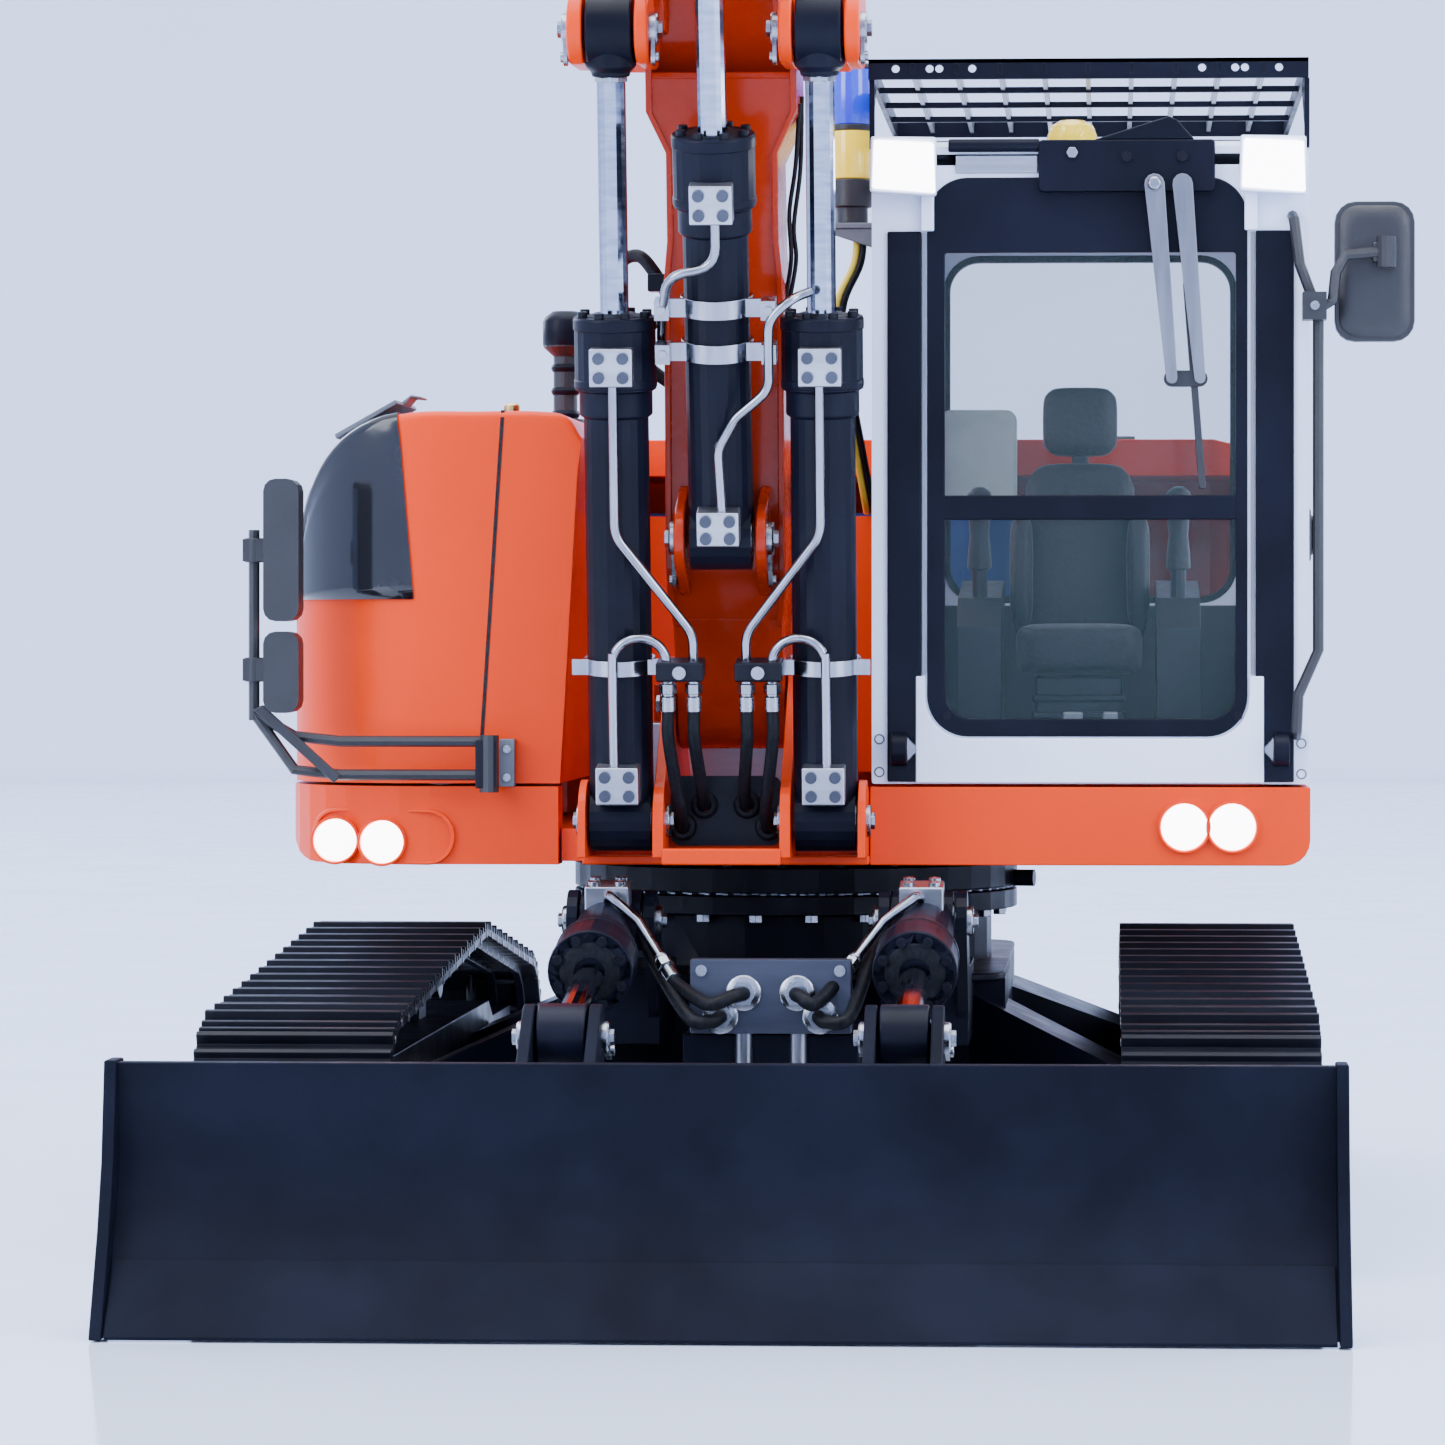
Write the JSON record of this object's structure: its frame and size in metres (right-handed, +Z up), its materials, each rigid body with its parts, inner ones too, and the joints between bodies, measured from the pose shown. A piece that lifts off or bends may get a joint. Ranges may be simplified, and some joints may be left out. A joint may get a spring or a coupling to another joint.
{
  "type": "radio-controlled excavator",
  "caption": "Tracked hydraulic excavator model with dozer blade, three-piece arm, bucket, rounded hood and glazed cab with roof guard.",
  "frame": {"origin": "on the ground under the centre of the bounding box", "axes": "+Z up, -Y the way the cab looks, +X the cab side; the arm lies along Y"},
  "size_m": [0.236, 0.5753, 0.4053],
  "materials": {
    "orange_paint": "gloss orange paint",
    "boom_paint": "gloss red-orange paint",
    "white_paint": "satin white paint",
    "black_paint": "satin black paint",
    "black_steel": "satin black steel",
    "chrome": "polished",
    "brushed_aluminium": "brushed",
    "black_plastic": "fine grain",
    "window_glass": "clear, green tint",
    "lamp_glass": "lit white lens",
    "seat_leather": "moulded, leather grain",
    "battery_wrap": "shrink wrap",
    "tank_steel": "brushed"
  },
  "bodies": {
    "undercarriage": {"car_body": "black_paint", "track_frame_left": "black_paint", "track_frame_right": "black_paint", "track_left": "black_steel", "track_right": "black_steel", "slew_ring_lower": "black_steel", "blade_manifold": "brushed_aluminium"},
    "sprocket_left": {"sprocket_left": "black_steel"},
    "sprocket_right": {"sprocket_right": "black_steel"},
    "idler_left": {"idler_left": "black_steel"},
    "idler_right": {"idler_right": "black_steel"},
    "blade": {"dozer_blade": "black_paint"},
    "blade_barrels": {"blade_barrel_left": "black_paint", "blade_barrel_right": "black_paint"},
    "blade_rods": {"blade_rod_left": "chrome", "blade_rod_right": "chrome"},
    "house": {"upper_frame": "orange_paint", "slew_ring_upper": "black_steel", "counterweight": "orange_paint", "engine_hood": "orange_paint", "hood_panel": "black_plastic", "hood_skirt": "orange_paint", "cab_skirt": "orange_paint", "hydraulic_pump": "brushed_aluminium", "oil_tank": "tank_steel", "battery_pack": "battery_wrap", "valve_block": "brushed_aluminium", "exhaust_stack": "black_plastic", "beacon_tower": "black_plastic", "cab_shell": "white_paint", "windscreen": "window_glass", "roof_guard": "black_paint", "roof_lamp_left": "lamp_glass", "roof_lamp_right": "lamp_glass", "seat": "seat_leather", "console": "black_plastic", "handrail": "black_plastic"},
    "rear_lid": {"rear_lid": "orange_paint"},
    "mirror_bracket": {"mirror_bracket": "black_plastic"},
    "cab_door": {"cab_door": "white_paint"},
    "door_mirror": {"door_mirror": "black_plastic"},
    "wiper_drive_arm": {"wiper_drive_arm": "brushed_aluminium"},
    "wiper_guide_arm": {"wiper_guide_arm": "brushed_aluminium"},
    "wiper_blade": {"wiper_blade": "black_plastic"},
    "boom_lower": {"boom_lower": "boom_paint"},
    "lift_barrels": {"lift_barrel_left": "black_paint", "lift_barrel_right": "black_paint"},
    "lift_rods": {"lift_rod_left": "chrome", "lift_rod_right": "chrome"},
    "fold_barrel": {"fold_barrel": "black_paint"},
    "fold_rod": {"fold_rod": "chrome"},
    "boom_upper": {"boom_upper": "boom_paint"},
    "stick_barrel": {"stick_barrel": "black_paint"},
    "stick_rod": {"stick_rod": "chrome"},
    "stick": {"stick": "boom_paint"},
    "bucket_barrel": {"bucket_barrel": "black_paint"},
    "rocker": {"rocker": "black_paint"},
    "bucket_rod": {"bucket_rod": "chrome"},
    "bucket_link": {"bucket_link": "black_paint"},
    "bucket": {"bucket": "black_steel"}
  },
  "joints": [
    {"name": "slew", "type": "hinge", "parent": "undercarriage", "child": "house", "pos_m": [-0.009, 0.1487, 0.0776], "axis": [0, 0, 1], "continuous": true},
    {"name": "track_drive_left", "type": "hinge", "parent": "undercarriage", "child": "sprocket_left", "pos_m": [0.0795, 0.2637, 0.024], "axis": [-1, 0, 0], "continuous": true},
    {"name": "track_idle_left", "type": "hinge", "parent": "undercarriage", "child": "idler_left", "pos_m": [0.0795, 0.0317, 0.025], "axis": [-1, 0, 0], "continuous": true},
    {"name": "track_drive_right", "type": "hinge", "parent": "undercarriage", "child": "sprocket_right", "pos_m": [-0.0975, 0.2637, 0.024], "axis": [-1, 0, 0], "continuous": true},
    {"name": "track_idle_right", "type": "hinge", "parent": "undercarriage", "child": "idler_right", "pos_m": [-0.0975, 0.0317, 0.025], "axis": [-1, 0, 0], "continuous": true},
    {"name": "blade_lift", "type": "hinge", "parent": "undercarriage", "child": "blade", "pos_m": [-0.009, 0.0787, 0.022], "axis": [-1, 0, 0], "range_deg": [-8, 20]},
    {"name": "blade_barrel_turn", "type": "hinge", "parent": "undercarriage", "child": "blade_barrels", "pos_m": [-0.009, 0.0537, 0.066], "axis": [-1, 0, 0], "range_deg": [-14, 30]},
    {"name": "blade_rod_turn", "type": "hinge", "parent": "blade", "child": "blade_rods", "pos_m": [-0.009, -0.0413, 0.05], "axis": [-1, 0, 0], "range_deg": [-10, 10]},
    {"name": "boom_lift", "type": "hinge", "parent": "house", "child": "boom_lower", "pos_m": [-0.017, 0.0737, 0.108], "axis": [-1, 0, 0], "range_deg": [-50, 5]},
    {"name": "lift_barrel_turn", "type": "hinge", "parent": "house", "child": "lift_barrels", "pos_m": [-0.017, 0.0447, 0.086], "axis": [-1, 0, 0], "range_deg": [-52, 8]},
    {"name": "lift_rod_turn", "type": "hinge", "parent": "boom_lower", "child": "lift_rods", "pos_m": [-0.017, 0.0197, 0.238], "axis": [-1, 0, 0], "range_deg": [-5, 5]},
    {"name": "boom_fold", "type": "hinge", "parent": "boom_lower", "child": "boom_upper", "pos_m": [-0.017, 0.0267, 0.268], "axis": [-1, 0, 0], "range_deg": [-35, 35]},
    {"name": "fold_barrel_turn", "type": "hinge", "parent": "boom_lower", "child": "fold_barrel", "pos_m": [-0.017, 0.0387, 0.141], "axis": [-1, 0, 0], "range_deg": [-3, 3]},
    {"name": "fold_rod_turn", "type": "hinge", "parent": "boom_upper", "child": "fold_rod", "pos_m": [-0.017, 0.0007, 0.262], "axis": [-1, 0, 0], "range_deg": [-38, 38]},
    {"name": "stick_swing", "type": "hinge", "parent": "boom_upper", "child": "stick", "pos_m": [-0.017, -0.1033, 0.377], "axis": [-1, 0, 0], "range_deg": [-45, 35]},
    {"name": "stick_barrel_turn", "type": "hinge", "parent": "boom_upper", "child": "stick_barrel", "pos_m": [-0.017, 0.0027, 0.317], "axis": [-1, 0, 0], "range_deg": [-5, 5]},
    {"name": "stick_rod_turn", "type": "hinge", "parent": "stick", "child": "stick_rod", "pos_m": [-0.017, -0.0903, 0.39952], "axis": [-1, 0, 0], "range_deg": [-38, 46]},
    {"name": "bucket_curl", "type": "hinge", "parent": "stick", "child": "bucket", "pos_m": [-0.017, -0.24425, 0.3257], "axis": [-1, 0, 0], "range_deg": [-35, 55]},
    {"name": "rocker_turn", "type": "hinge", "parent": "stick", "child": "rocker", "pos_m": [-0.017, -0.2217, 0.33391], "axis": [-1, 0, 0], "range_deg": [-38, 58]},
    {"name": "bucket_link_turn", "type": "hinge", "parent": "rocker", "child": "bucket_link", "pos_m": [-0.017, -0.23702, 0.34676], "axis": [-1, 0, 0], "range_deg": [-58, 38]},
    {"name": "bucket_barrel_turn", "type": "hinge", "parent": "stick", "child": "bucket_barrel", "pos_m": [-0.017, -0.12466, 0.39476], "axis": [-1, 0, 0], "range_deg": [-5, 5]},
    {"name": "bucket_rod_turn", "type": "hinge", "parent": "rocker", "child": "bucket_rod", "pos_m": [-0.017, -0.23702, 0.34676], "axis": [-1, 0, 0], "range_deg": [-56, 38]},
    {"name": "rear_lid_open", "type": "hinge", "parent": "house", "child": "rear_lid", "pos_m": [-0.009, 0.1997, 0.163], "axis": [1, 0, 0], "range_deg": [0, 70]},
    {"name": "mirror_bracket_swing", "type": "hinge", "parent": "house", "child": "mirror_bracket", "pos_m": [-0.0635, 0.0477, 0.097], "axis": [0, 0, 1], "range_deg": [0, 90]},
    {"name": "cab_door_open", "type": "hinge", "parent": "house", "child": "cab_door", "pos_m": [0.098, 0.1447, 0.15], "axis": [0, 0, 1], "range_deg": [0, 100]},
    {"name": "door_mirror_turn", "type": "hinge", "parent": "house", "child": "door_mirror", "pos_m": [0.1122, 0.0472, 0.197], "axis": [0, 0, 1], "range_deg": [-12, 12]},
    {"name": "wiper_sweep", "type": "hinge", "parent": "house", "child": "wiper_drive_arm", "pos_m": [0.0671, 0.0507, 0.2107], "axis": [0, 1, 0], "range_deg": [0, 48]},
    {"name": "wiper_guide_turn", "type": "hinge", "parent": "house", "child": "wiper_guide_arm", "pos_m": [0.0726, 0.0507, 0.2107], "axis": [0, 1, 0], "range_deg": [0, 50]},
    {"name": "wiper_blade_turn", "type": "hinge", "parent": "wiper_drive_arm", "child": "wiper_blade", "pos_m": [0.0705, 0.0507, 0.1726], "axis": [0, 1, 0], "range_deg": [-50, 0]}
  ],
  "couplings": [
    {"joint": "track_idle_left", "follows": "track_drive_left", "ratio": 0.9487},
    {"joint": "track_idle_right", "follows": "track_drive_right", "ratio": 0.9487},
    {"joint": "blade_barrel_turn", "follows": "blade_lift", "ratio": 1.264},
    {"joint": "blade_rod_turn", "follows": "blade_lift", "ratio": 0.264},
    {"joint": "lift_barrel_turn", "follows": "boom_lift", "ratio": 0.974},
    {"joint": "lift_rod_turn", "follows": "boom_lift", "ratio": -0.026},
    {"joint": "fold_barrel_turn", "follows": "boom_fold", "ratio": 0.016},
    {"joint": "fold_rod_turn", "follows": "boom_fold", "ratio": -0.984},
    {"joint": "stick_barrel_turn", "follows": "stick_swing", "ratio": 0.054},
    {"joint": "stick_rod_turn", "follows": "stick_swing", "ratio": -0.946},
    {"joint": "rocker_turn", "follows": "bucket_curl", "ratio": 1},
    {"joint": "bucket_link_turn", "follows": "bucket_curl", "ratio": -1},
    {"joint": "bucket_barrel_turn", "follows": "bucket_curl", "ratio": 0.046},
    {"joint": "bucket_rod_turn", "follows": "bucket_curl", "ratio": -0.954},
    {"joint": "wiper_guide_turn", "follows": "wiper_sweep", "ratio": 1},
    {"joint": "wiper_blade_turn", "follows": "wiper_sweep", "ratio": -1}
  ]
}
